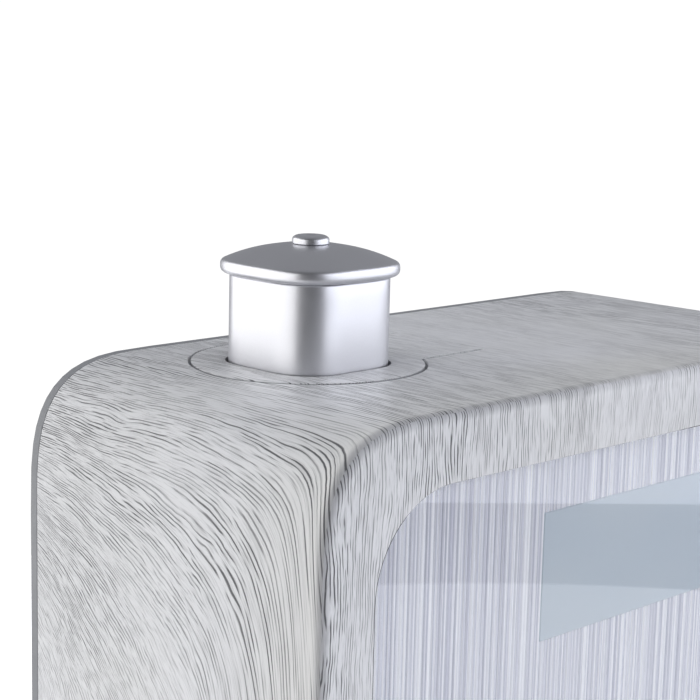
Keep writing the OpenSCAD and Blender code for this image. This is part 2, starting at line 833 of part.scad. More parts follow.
// Rectangular duct from the blower to the basin wall
module air_duct() color(white_plastic) {
    difference() {
        block([basin_x1, scroll_y0, duct_z0], [outlet_x0, fan_cover_y, duct_z1]);
        block([basin_x1 - eps, scroll_y0 + fan_wall, duct_z0 + fan_wall],
            [outlet_x0 + eps, fan_cover_y - fan_wall, duct_z1 - fan_wall]);
    }
}

// Louvred door over the air intake, with a tray for the filter
module filter_door() color(grey_plastic) {
    difference() {
        union() {
            along_y(back - 3, back) translate([fan_x, door_z]) rounded(door_w - 0.8, door_h - 0.8, 3.6);
            along_y(back - 10, back - 3) translate([fan_x, door_z])
                square([door_w - 5, door_h - 5], center = true);
        }
        along_y(back - 10 - eps, back - 3) translate([fan_x, door_z])
            square([door_w - 8, door_h - 8], center = true);
        for (i = [-7:7])
            along_y(back - 4, back + eps) translate([fan_x + 4 * i, door_z]) rounded(2, door_h - 14, 0.9);
        along_y(back - 1.2, back + eps) translate([fan_x + door_w / 2 - 4, door_z]) rounded(3, 20, 1.4);
    }
}

module intake_filter() color("#303235") {
    along_y(back - 9.5, back - 3) translate([fan_x, door_z])
        square([door_w - 8.4, door_h - 8.4], center = true);
}

// Main logic board
module control_board() color(board_green) {
    flat_board([8, -56], [76, 16], [for (i = [0:3]) board_holes[i]]);
    h = pcb_z + pcb_t;
    block([20, board_y + pcb_t - 1, h], [32, board_y + pcb_t + 4, h + 4]);
    block([30, -30, h], [44, -16, h + 1.6]);
    block([54, -20, h], [68, -4, h + 12]);
    for (x = [20, 30, 40]) rod_z(x, 0, 4, h, h + 11);
    for (y = [-44, -36, -28]) block([60, y, h], [66, y + 4, h + 2]);
    block([12, -26, h], [18, -10, h + 6]);
    block([58, 6, h], [66, 12, h + 5]);
    block([67, -1, h], [74, 5, h + 5]);
}

// Mains to low-voltage supply board
module power_board() color(board_green) {
    flat_board([84, -50], [120, 20], [for (i = [4:7]) board_holes[i]]);
    h = pcb_z + pcb_t;
    block([90, -36, h], [112, -14, h + 18]);
    rod_z(94, -4, 6.5, h, h + 22);
    rod_z(109, -6, 4, h, h + 14);
    block([102, 6, h], [113, 13, h + 9]);
    block([88, 6, h], [98, 13, h + 7]);
}

module board_screws() color(steel) {
    for (p = board_holes)
        translate([p.x, p.y, pcb_z + pcb_t + 1.3]) mirror([0, 0, 1]) screw(1, 5, 2.4, 1.3);
}

// Two-pin mains socket; the lead itself is a separate plug-in part
module power_inlet() color("#26282a") {
    difference() {
        along_y(52, back) translate([socket_x, socket_z]) square([socket_w, socket_h], center = true);
        along_y(56, back + eps) translate([socket_x, socket_z]) rounded(16, 10, 4.5);
        for (s = [-1, 1]) rod_y(socket_x + 4.2 * s, socket_z, 1.2, 54, 57);
    }
    for (s = [-1, 1]) color(steel) rod_y(socket_x + 4.2 * s, socket_z, 1.2, 54, 64);
    for (s = [-1, 1]) color(steel)
        block([socket_x + 5 * s - 2, 48, socket_z - 3], [socket_x + 5 * s + 2, 52, socket_z - 2]);
}

// Small sensor board behind the louvre in the rear cover
module humidity_sensor() color(board_green) {
    block([-7, 62.8, 27], [7, 64.2, 46]);
    color("white") block([-3, 64.2, 32], [3, 66, 38]);
}

// Two leads from the socket to the power board
module mains_leads() color("#5b3a28") {
    wire([[socket_x + 5, 48, 37.5], [socket_x + 5, 40.5, 37.5], [111, 40.5, 37.5], [111, 40.5, 20],
        [111, 13, 20]], 1.2);
    wire([[socket_x - 5, 48, 37.5], [socket_x - 5, 45, 37.5], [105, 45, 37.5], [105, 45, 20],
        [105, 13, 20]], 1.2);
}

// Leads to the fan, the transducer, the low-water switch and between the boards
module signal_leads() color("#b8433a") {
    wire([[fan_x, scroll_y0, 26], [fan_x, 22, 26], [fan_x, 22, 18.5], [fan_x, 12, 18.5]], 0.9);
    wire([[-44, -18, 19], [12, -18, 19]], 0.9);
    wire([[-56, -1, 17.5], [-62, -1, 17.5], [-62, -1, 15], [nozzle_x, -1, 15],
        [nozzle_x, nozzle_y, 15], [nozzle_x, nozzle_y, 22.8]], 0.9);
    wire([[level_x + 8, level_y, 24.8], [level_x + 12, level_y, 24.8], [level_x + 12, level_y, 20.5],
        [-56, level_y, 20.5]], 0.9);
    wire([[88, 10, 19], [80, 10, 19], [80, 2, 19], [74, 2, 19]], 0.9);
}

outer_shell();
rear_cover();
rear_cover_screws();
rubber_feet();
foot_screws();
chassis();
support_pillars();
front_window();
ribbed_panel();
display_lens();
lcd_module();
display_frame();
display_board();
display_screws();
display_cable();
top_cover();
top_cover_seal();
mist_nozzle();
nozzle_seal();
nozzle_lid();
lid_knob();
lid_screw();
lid_gasket();
tank_body();
tank_lid();
drain_plug();
drain_seal();
basin();
basin_gasket();
mist_hood();
splash_baffle();
transducer_disc();
transducer_seal();
transducer_retainer();
transducer_screws();
driver_board();
driver_heat_sink();
inlet_float();
float_pin();
valve_stopper();
level_float();
float_magnet();
float_cap();
level_switch();
fan_housing();
fan_cover();
fan_impeller();
fan_shaft();
fan_motor();
fan_bearing();
air_duct();
filter_door();
intake_filter();
control_board();
power_board();
board_screws();
power_inlet();
humidity_sensor();
mains_leads();
signal_leads();
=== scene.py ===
"""The looks of a cool mist humidifier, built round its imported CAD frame.

Shapes are worked out in millimetres in the frame's own axes: X across the front, Y to the back, Z up."""

import json
import math
import bmesh
import bpy
import numpy as np
from mathutils import Matrix, Vector


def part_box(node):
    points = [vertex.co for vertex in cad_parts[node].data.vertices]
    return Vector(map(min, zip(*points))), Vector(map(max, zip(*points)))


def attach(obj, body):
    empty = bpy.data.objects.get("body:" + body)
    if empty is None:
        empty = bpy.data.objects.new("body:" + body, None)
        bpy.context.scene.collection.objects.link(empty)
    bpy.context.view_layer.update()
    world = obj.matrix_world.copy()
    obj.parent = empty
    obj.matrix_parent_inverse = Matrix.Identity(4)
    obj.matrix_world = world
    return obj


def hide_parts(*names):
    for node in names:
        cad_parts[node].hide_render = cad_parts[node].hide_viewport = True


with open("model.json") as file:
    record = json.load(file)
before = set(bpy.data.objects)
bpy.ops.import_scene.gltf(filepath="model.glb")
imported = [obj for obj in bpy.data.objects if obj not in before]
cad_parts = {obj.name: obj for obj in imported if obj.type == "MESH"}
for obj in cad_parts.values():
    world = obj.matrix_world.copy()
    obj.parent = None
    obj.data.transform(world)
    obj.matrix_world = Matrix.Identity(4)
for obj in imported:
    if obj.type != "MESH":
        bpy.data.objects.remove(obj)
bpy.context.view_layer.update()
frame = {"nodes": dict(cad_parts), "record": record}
MM = 0.001


def corners(node):
    """Lowest and highest corner of a CAD node, in millimetres."""
    low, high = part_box(node)
    return low / MM, high / MM


# ---------------------------------------------------------------- sizes taken from the frame
shell_low, shell_high = corners("outer_shell")
cover_low, cover_high = corners("top_cover")
tube_low, tube_high = corners("mist_nozzle")
lid_low, lid_high = corners("nozzle_lid")
knob_low, knob_high = corners("lid_knob")
window_low, window_high = corners("front_window")
sheet_low, sheet_high = corners("ribbed_panel")
lens_low, lens_high = corners("display_lens")

HALF_W = shell_high.x
FRONT = shell_low.y
SHELL_BACK = shell_high.y
BOTTOM = shell_low.z
TOP = shell_high.z
MID_Z = (TOP + BOTTOM) / 2
WALL = 3.0
CORNER = 50.4                    # length over which each outer corner turns
CORNER_N = 3.35                  # superellipse exponent of the outer corners
ARC_START = HALF_W - CORNER      # half width of the flat top
EDGE_R = 2.6                     # rounding of the edge between the sleeve and the front frame
BOSS_R, BOSS_FRONT = 4.5, 52.0   # bosses for the rear cover's screws
SCREW_X, SCREW_ROWS = 148.6, (70, 139, 208)
FLANGE = 4.0                     # border of the window hidden behind the frame
WINDOW_W = window_high.x - window_low.x - 2 * FLANGE
WINDOW_H = window_high.z - window_low.z - 2 * FLANGE
WINDOW_R = 32.0
RIB_PITCH, RIBS_PER_PITCH = 7.0, 4
AXIS_X = (tube_low.x + tube_high.x) / 2
AXIS_Y = (tube_low.y + tube_high.y) / 2
COVER_R = 40.0                   # disc of the keyhole in the shell
COVER_GAP = 0.7                  # groove between the shell and the keyhole cover
PROUD = 0.25                     # how far the keyhole cover stands above the shell
TAB_L, TAB_W, TAB_R = 66.0, 42.0, 2.0
SKIRT_R, SKIRT_T = 34.0, 2.0     # ring that locates the cover in the shell
LEDGE_R = 36.0                   # opening under the cover
LEDGE_T = 2.2
LEDGE_RIM = 4.0                  # how far the ledge reaches round the keyhole
LEDGE_Z = TOP - WALL
TUBE_W = tube_high.x - tube_low.x
TUBE_R = 15.5
TUBE_WALL = 1.5
TUBE_BASE = TOP - 10
SPIGOT_R, SPIGOT_WALL = 16.6, 1.6
RIM_LOW, RIM_HIGH = TOP + 29.7, TOP + 34.7
RIM_N = 3.0                      # superellipse exponent of the lid's rim
RIM_UNDER, RIM_OVER = 2.0, 1.9   # roundings under and over the rim
RIM_TURN = 1.05                  # angle at which the upper rounding runs into the dome
DOME_POWER = 2.3
PLUG_INSET = 3.0                 # the lid's plug inside the tube's outline
POCKET_R, POCKET_Z = 18.0, RIM_LOW + 3.0
LID_BORE = 1.7
CORNER_STEPS, ACROSS_STEPS, DOWN_STEPS = 24, 18, 28
EASED = {"rear_cover": 0.35, "filter_door": 0.35, "drain_plug": 0.4, "rubber_feet": 0.6}
EASED_ELSEWHERE = 0.15

slot_of = {part["node"]: part["material_slot"] for part in frame["record"]["subparts"]}
replaced = set()

# ---------------------------------------------------------------- camera
CAMERA_AT = Vector((-505.3, -428.0, 388.4)) * MM
YAW, PITCH, ROLL = math.radians(45.0), math.radians(10.2), math.radians(1.42)
LENS, SENSOR = 95.47, 36.0


def make_camera():
    ahead = Vector((math.sin(YAW), math.cos(YAW), 0.0))
    forward = ahead * math.cos(PITCH) - Vector((0.0, 0.0, math.sin(PITCH)))
    level = Vector((math.cos(YAW), -math.sin(YAW), 0.0))
    upright = level.cross(forward)
    right = level * math.cos(ROLL) + upright * math.sin(ROLL)
    up = upright * math.cos(ROLL) - level * math.sin(ROLL)
    data = bpy.data.cameras.new("camera")
    data.lens = LENS
    data.sensor_width = SENSOR
    data.clip_start, data.clip_end = 0.01, 50.0
    camera = bpy.data.objects.new("camera", data)
    facing = Matrix((right, up, -forward)).transposed().to_4x4()
    camera.matrix_world = Matrix.Translation(CAMERA_AT) @ facing
    bpy.context.scene.collection.objects.link(camera)
    bpy.context.scene.camera = camera


# ---------------------------------------------------------------- outlines, as arrays of (u, v) points
def corner_arc(steps, exponent):
    """Unit superellipse corner from (0, 1) to (-1, 0), without its first point."""
    a = np.radians(90 + 90 * np.arange(1, steps + 1) / steps)
    c, s = np.abs(np.cos(a)), np.sin(a)
    r = (c ** exponent + s ** exponent) ** (-1 / exponent)
    return np.column_stack([-r * c, r * s])


def half_loop(half_w, low, high, corner, exponent):
    """Left half of a rounded box outline, from the middle of its top to the middle of its bottom."""
    flat_x = np.linspace(0, corner - half_w, ACROSS_STEPS + 1)
    top = np.column_stack([flat_x, np.full(ACROSS_STEPS + 1, high)])
    upper = corner_arc(CORNER_STEPS, exponent) * corner + [corner - half_w, high - corner]
    side_z = np.linspace(high - corner, low + corner, DOWN_STEPS + 1)[1:]
    side = np.column_stack([np.full(DOWN_STEPS, -half_w), side_z])
    lower = (upper * [1, -1] + [0, high + low])[::-1][1:]
    lower = np.vstack([lower, [corner - half_w, low]])
    under = np.column_stack([flat_x[::-1][1:], np.full(ACROSS_STEPS, low)])
    return np.vstack([top, upper, side, lower, under])


def full_loop(half):
    """Closed outline from its left half."""
    return np.vstack([half, (half * [-1, 1])[-2:0:-1]])


def body_loop(inset):
    """The body's outline, seen from the front."""
    half = half_loop(HALF_W - inset, BOTTOM + inset, TOP - inset, CORNER - inset, CORNER_N)
    return full_loop(half)


def window_loop(grow):
    """Outline of the opening in the front frame."""
    low, high = MID_Z - WINDOW_H / 2 - grow, MID_Z + WINDOW_H / 2 + grow
    return full_loop(half_loop(WINDOW_W / 2 + grow, low, high, WINDOW_R + grow, 2.0))


def at_y(loop, y):
    """Ring in the plane at y from an (x, z) outline."""
    return np.column_stack([loop[:, 0], np.full(len(loop), float(y)), loop[:, 1]])


def superellipse_r(angle, half, exponent):
    """Polar radius of a superellipse."""
    c, s = np.abs(np.cos(angle)), np.abs(np.sin(angle))
    return half * (c ** exponent + s ** exponent) ** (-1 / exponent)


def rounded_box_r(angle, half_u, half_v, radius, start_u=None):
    """Polar radius of a rectangle with round corners about the origin."""
    c, s = np.abs(np.cos(angle)), np.abs(np.sin(angle))
    straight = np.minimum(half_u / np.maximum(c, 1e-9), half_v / np.maximum(s, 1e-9))
    cu, cv = half_u - radius, half_v - radius
    along = c * cu + s * cv
    inside = np.maximum(along ** 2 - cu ** 2 - cv ** 2 + radius ** 2, 0)
    rounded = along + np.sqrt(inside)
    in_corner = (straight * c > cu) & (straight * s > cv)
    return np.where(in_corner, rounded, straight)


def keyhole_r(angle, grow):
    """Polar radius of the keyhole outline, a disc with a finger tab to its right."""
    tab = rounded_box_r(angle, TAB_L + grow, TAB_W / 2 + grow, max(TAB_R + grow, 0.1))
    return np.where((np.cos(angle) > 0) & (tab > COVER_R + grow), tab, COVER_R + grow)


def top_z(x):
    """Height of the body's outer skin over x."""
    t = np.clip((np.abs(x) - ARC_START) / CORNER, 0, 1)
    return TOP - CORNER * (1 - (1 - t ** CORNER_N) ** (1 / CORNER_N))


def polar_ring(angle, radius, z):
    """Ring about the nozzle's axis. z is one height or one for each point."""
    x, y = AXIS_X + radius * np.cos(angle), AXIS_Y + radius * np.sin(angle)
    return np.column_stack([x, y, np.broadcast_to(z, x.shape)])


def keyhole_angles():
    """Directions from the nozzle's axis, with extra ones at the tab's root and round its corners."""
    root = math.asin(TAB_W / 2 / COVER_R)
    before, after = math.atan2(TAB_W / 2 - TAB_R, TAB_L), math.atan2(TAB_W / 2, TAB_L - TAB_R)
    bend = np.linspace(before, after, 7)
    angles = np.concatenate([np.radians(np.arange(0, 360, 2.0)), [root, -root], bend, -bend])
    return np.unique(np.round(np.mod(angles, 2 * math.pi), 5))


ROUND = np.radians(np.arange(0, 360, 2.5))
KEYHOLE = keyhole_angles()


# ---------------------------------------------------------------- meshes
def loft(rings, wrap=False, cap_first=False, cap_last=False):
    """Points and faces of a skin over closed rings with the same number of points."""
    count = len(rings[0])
    points = np.vstack(rings)
    faces = []
    pairs = list(zip(range(len(rings) - 1), range(1, len(rings))))
    if wrap:
        pairs.append((len(rings) - 1, 0))
    for a, b in pairs:
        for i in range(count):
            j = (i + 1) % count
            faces.append((a * count + i, a * count + j, b * count + j, b * count + i))
    if cap_first:
        faces.append(tuple(range(count))[::-1])
    if cap_last:
        faces.append(tuple(range((len(rings) - 1) * count, len(rings) * count)))
    return points, faces


def make_piece(name, *skins, sharp=32.0):
    """Object made of closed skins, smooth except where an edge turns by more than sharp degrees."""
    points, faces, start = [], [], 0
    for skin_points, skin_faces in skins:
        points.append(skin_points)
        faces += [tuple(i + start for i in face) for face in skin_faces]
        start += len(skin_points)
    mesh = bpy.data.meshes.new(name)
    mesh.from_pydata((np.vstack(points) * MM).tolist(), [], faces)
    work = bmesh.new()
    work.from_mesh(mesh)
    bmesh.ops.recalc_face_normals(work, faces=work.faces)
    work.to_mesh(mesh)
    work.free()
    piece = bpy.data.objects.new(name, mesh)
    bpy.context.scene.collection.objects.link(piece)
    smooth(mesh, sharp)
    return piece


def smooth(mesh, sharp):
    """Smooth shading that breaks along edges sharper than an angle in degrees."""
    mesh.shade_smooth()
    mesh.set_sharp_from_angle(angle=math.radians(sharp))


def combine(piece, tool, operation, sharp=32.0):
    """Joins a closed tool to a piece or cuts it out, and removes the tool."""
    step = piece.modifiers.new(operation, "BOOLEAN")
    step.operation = operation
    step.solver = "EXACT"
    step.object = tool
    bpy.context.view_layer.update()
    evaluated = piece.evaluated_get(bpy.context.evaluated_depsgraph_get())
    result = bpy.data.meshes.new_from_object(evaluated)
    piece.modifiers.clear()
    old = piece.data
    piece.data = result
    result.name = piece.name
    bpy.data.meshes.remove(old)
    bpy.data.objects.remove(tool)
    smooth(piece.data, sharp)


def stand_in(piece, node, *materials):
    """The piece is shown in place of a CAD node, on its body and with the materials given."""
    for material in materials:
        piece.data.materials.append(material)
    bodies = frame["record"]["behaviour"]["bodies"]
    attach(piece, next(body for body, nodes in bodies.items() if node in nodes))
    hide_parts(node)
    replaced.add(node)


# ---------------------------------------------------------------- grain of the wood film
FIELD_S = np.arange(-106.0, 448.0, 3.0)      # distance round the sleeve from its upper corner's start
FIELD_Y = np.arange(0.0, 141.0, 3.5)         # distance behind the front face
SLOW_TURN, SLOW_AT, SLOW_OVER = 1.28, 110.0, 36.0     # how the grain turns round down the side
FAST_TURN, FAST_AT, FAST_OVER = 18.0, 50.0, 9.0       # and across the upper corner
STRETCH = (0.35, 2.2)            # least and most that the grain may be stretched


def grain_angle(s, y):
    """Direction of the grain on the sleeve: 0 runs down round it, 90 degrees to the front."""
    slow = SLOW_TURN * np.exp(-(s - SLOW_AT) / SLOW_OVER)
    fast = FAST_TURN * np.exp(-(s - FAST_AT) / FAST_OVER)
    t = np.clip((y + 5) / 115, 0, 1)
    return np.arctan(np.minimum(slow + fast, 1e5) * t * t * (3 - 2 * t))


def solve_field(want_s, want_y, start, rounds=400):
    """Potential over the sleeve whose gradient is nearest to the one wanted, by conjugate gradients."""
    ds, dy = FIELD_S[1] - FIELD_S[0], FIELD_Y[1] - FIELD_Y[0]

    def outflow(a, b):
        out = np.zeros((len(FIELD_S), len(FIELD_Y)))
        out[1:] += a / ds
        out[:-1] -= a / ds
        out[:, 1:] += b / dy
        out[:, :-1] -= b / dy
        return out

    def apply(v):
        return outflow(np.diff(v, axis=0) / ds, np.diff(v, axis=1) / dy) + 1e-9 * v

    field = start.copy()
    left = outflow(want_s, want_y) - apply(field)
    step = left.copy()
    size = (left * left).sum()
    for _ in range(rounds):
        moved = apply(step)
        share = size / (step * moved).sum()
        field += share * step
        left -= share * moved
        new_size = (left * left).sum()
        if new_size < 1e-12:
            break
        step = left + new_size / size * step
        size = new_size
    return field


def between(a, axis):
    """Values halfway between grid points along an axis."""
    low = [slice(None)] * 2
    high = [slice(None)] * 2
    low[axis], high[axis] = slice(0, -1), slice(1, None)
    return (a[tuple(low)] + a[tuple(high)]) / 2


def grain_fields():
    """Across-grain and along-grain coordinates over the sleeve, in millimetres."""
    s, y = np.meshgrid(FIELD_S, FIELD_Y, indexing="ij")
    angle = grain_angle(s, y)
    ways = ((-np.sin(angle), -np.cos(angle), -s), (np.cos(angle), -np.sin(angle), -y))
    fields = []
    for dir_s, dir_y, start in ways:
        scale = np.ones_like(s)
        field = start.copy()
        for _ in range(8):
            field = solve_field(between(dir_s * scale, 0), between(dir_y * scale, 1), field)
            slope_s = np.gradient(field, FIELD_S, axis=0)
            slope_y = np.gradient(field, FIELD_Y, axis=1)
            scale = np.clip(slope_s * dir_s + slope_y * dir_y, *STRETCH)
        fields.append(field)
    across, along = fields
    across += CORNER - across[np.argmin(abs(FIELD_S)), 0]
    along -= along[0, 0]
    return across, along


def bilinear(field, s, y):
    """A field's value at points of the sleeve."""
    i = np.clip((s - FIELD_S[0]) / (FIELD_S[1] - FIELD_S[0]), 0, len(FIELD_S) - 1.001)
    j = np.clip((y - FIELD_Y[0]) / (FIELD_Y[1] - FIELD_Y[0]), 0, len(FIELD_Y) - 1.001)
    a, b = i.astype(int), j.astype(int)
    u, v = i - a, j - b
    front = field[a, b] * (1 - u) + field[a + 1, b] * u
    back = field[a, b + 1] * (1 - u) + field[a + 1, b + 1] * u
    return front * (1 - v) + back * v


HALF_PROFILE = half_loop(HALF_W, BOTTOM, TOP, CORNER, CORNER_N)
PROFILE_S = np.concatenate([[0], np.cumsum(np.hypot(*np.diff(HALF_PROFILE, axis=0).T))]) - ARC_START


def sleeve_s(x, z):
    """Distance round the sleeve of a point on or under its skin, from the start of the upper corner."""
    x = -np.abs(x)
    corner_z, foot_z = TOP - CORNER, BOTTOM + CORNER
    on_arc = slice(ACROSS_STEPS, ACROSS_STEPS + CORNER_STEPS + 1)
    turned = HALF_PROFILE[on_arc] - [-ARC_START, corner_z]
    arc = np.arctan2(turned[:, 1], turned[:, 0])
    arc_s = PROFILE_S[on_arc]
    arc_end = arc_s[-1]
    upper = np.interp(np.arctan2(z - corner_z, x + ARC_START), arc, arc_s)
    lower_turn = np.interp(np.arctan2(foot_z - z, x + ARC_START), arc, arc_s)
    foot_s = arc_end + corner_z - foot_z
    side = arc_end + corner_z - z
    return np.select(
        [(x > -ARC_START) & (z > MID_Z), z > corner_z, z > foot_z, x > -ARC_START],
        [-ARC_START - x, upper, side, foot_s + arc_end + ARC_START + x],
        foot_s + arc_end - lower_turn,
    )


FRONT_FACING = -0.72             # a face whose normal's y is below this takes the front's grain


def lay_grain(piece, fields):
    """Stores where each face corner lies across and along the grain, and how far behind the front.

    On the front the third value is less than zero, and tells how far in from the outline it is."""
    mesh = piece.data
    count = len(mesh.loops)
    point_of = np.zeros(count, np.int32)
    mesh.loops.foreach_get("vertex_index", point_of)
    points = np.zeros(len(mesh.vertices) * 3, np.float32)
    mesh.vertices.foreach_get("co", points)
    at = points.reshape(-1, 3)[point_of].astype(float) / MM
    normals = np.zeros(len(mesh.polygons) * 3, np.float32)
    mesh.polygons.foreach_get("normal", normals)
    sizes = np.zeros(len(mesh.polygons), np.int32)
    mesh.polygons.foreach_get("loop_total", sizes)
    facing = np.repeat(normals.reshape(-1, 3)[:, 1], sizes)
    x, y, z = at.T
    s = sleeve_s(x, z)
    behind = y - FRONT
    across = bilinear(fields[0], s, behind)
    along = bilinear(fields[1], s, behind)
    on_front = facing < FRONT_FACING
    over_x = np.maximum(np.abs(x) - ARC_START, 0)
    over_z = np.maximum(np.abs(z - MID_Z) - (TOP - BOTTOM) / 2 + CORNER, 0)
    inset = CORNER - (over_x ** CORNER_N + over_z ** CORNER_N) ** (1 / CORNER_N)
    across = np.where(on_front, HALF_W - np.abs(x), across)
    along = np.where(on_front, TOP - z + behind, along)
    across = np.where(x > 0, 2 * HALF_W - across, across)
    grain = np.column_stack([across, along, np.where(on_front, -inset, behind)])
    stored = mesh.attributes.new("grain", "FLOAT_VECTOR", "CORNER")
    stored.data.foreach_set("vector", grain.astype(np.float32).ravel())


# ---------------------------------------------------------------- materials
class Graph:
    """A material's node tree, with a short call for each kind of node."""

    def __init__(self, name, **values):
        self.material = bpy.data.materials.new(name)
        self.material.use_nodes = True
        self.tree = self.material.node_tree
        self.shader = self.tree.nodes["Principled BSDF"]
        for socket, value in values.items():
            self.shader.inputs[socket.replace("_", " ")].default_value = value

    def node(self, kind, inputs=(), **settings):
        made = self.tree.nodes.new(kind)
        for key, value in settings.items():
            setattr(made, key, value)
        for key, value in dict(inputs).items():
            if isinstance(value, bpy.types.NodeSocket):
                self.tree.links.new(value, made.inputs[key])
            else:
                made.inputs[key].default_value = value
        return made

    def drive(self, socket, value):
        self.tree.links.new(value, self.shader.inputs[socket])

    def place(self, *scale):
        """Object coordinates in millimetres, scaled along each axis."""
        where = self.node("ShaderNodeTexCoord").outputs["Object"]
        factor = [s / MM for s in (scale if len(scale) == 3 else scale * 3)]
        made = self.node("ShaderNodeVectorMath", {0: where, 1: factor}, operation="MULTIPLY")
        return made.outputs[0]

    def noise(self, where, detail=2.0, roughness=0.5):
        inputs = {"Vector": where, "Scale": 1.0, "Detail": detail, "Roughness": roughness}
        return self.node("ShaderNodeTexNoise", inputs).outputs["Fac"]

    def voronoi(self, where, feature="F1"):
        inputs = {"Vector": where, "Scale": 1.0}
        return self.node("ShaderNodeTexVoronoi", inputs, feature=feature).outputs[0]

    def math(self, operation, a, b=0.0):
        return self.node("ShaderNodeMath", {0: a, 1: b}, operation=operation).outputs[0]

    def spread(self, value, low, high, to_low=0.0, to_high=1.0):
        """Maps low to high onto a new range with soft ends."""
        inputs = {"Value": value, "From Min": low, "From Max": high}
        inputs.update({"To Min": to_low, "To Max": to_high})
        made = self.node("ShaderNodeMapRange", inputs, interpolation_type="SMOOTHSTEP")
        return made.outputs[0]

    def mix(self, share, a, b):
        """Colour a, or b where share is 1."""
        made = self.node("ShaderNodeMix", data_type="RGBA")
        for index, value in ((0, share), (6, a), (7, b)):
            if isinstance(value, bpy.types.NodeSocket):
                self.tree.links.new(value, made.inputs[index])
            else:
                made.inputs[index].default_value = value if index == 0 else (*value, 1.0)
        return made.outputs[2]

    def vector(self, x, y, z=0.0):
        return self.node("ShaderNodeCombineXYZ", {0: x, 1: y, 2: z}).outputs[0]

    def bump(self, height, depth):
        """Relief whose full height is a depth in millimetres."""
        inputs = {"Height": height, "Distance": depth * MM, "Strength": 1.0}
        self.drive("Normal", self.node("ShaderNodeBump", inputs).outputs[0])


def moulded(name, colour, roughness=0.45, texture=1.6, depth=0.02, tint=0.06, **values):
    """Moulded plastic or rubber: fine spark-eroded texture, slight flow marks and uneven gloss."""
    g = Graph(name, **values)
    flow = g.noise(g.place(0.03), 3.0, 0.6)
    speck = g.noise(g.place(texture), 3.0, 0.65)
    dark = tuple(c * (1 - tint) for c in colour)
    light = tuple(min(c * (1 + tint), 1.0) for c in colour)
    g.drive("Base Color", g.mix(g.spread(flow, 0.35, 0.65), dark, light))
    g.drive("Roughness", g.spread(speck, 0.3, 0.7, roughness - 0.06, roughness + 0.08))
    g.bump(speck, depth)
    return g.material


def metal(name, colour, roughness=0.3, stretch=(1.0, 1.0, 1.0), depth=0.004, tint=0.04, **values):
    """Metal with a fine finish; stretch is how fast the finish changes along each axis."""
    g = Graph(name, Metallic=1.0, **values)
    grit = g.noise(g.place(*stretch), 4.0, 0.7)
    cloud = g.noise(g.place(0.05), 2.0)
    dark = tuple(c * (1 - tint) for c in colour)
    g.drive("Base Color", g.mix(g.spread(grit, 0.3, 0.7), dark, colour))
    fine, broad = g.spread(grit, 0.3, 0.7, -0.035, 0.035), g.spread(cloud, 0.3, 0.7, -0.02, 0.02)
    g.drive("Roughness", g.math("ADD", g.math("ADD", fine, broad), roughness))
    g.bump(grit, depth)
    return g.material


PRESSED_AT = (115.0, 55.0, 250.0)    # the strokes are deepest round here, at either side
FILM, FILM_COOL = (0.745, 0.745, 0.745), (0.76, 0.76, 0.775)
# The edge colour is the painted shade for the front edge.
FILM_WARM, FILM_DEEP, FILM_EDGE_SHADE = (0.69, 0.68, 0.63), (0.64, 0.64, 0.65), (0.27, 0.27, 0.29)
STROKE_INK = (0.10, 0.10, 0.105)


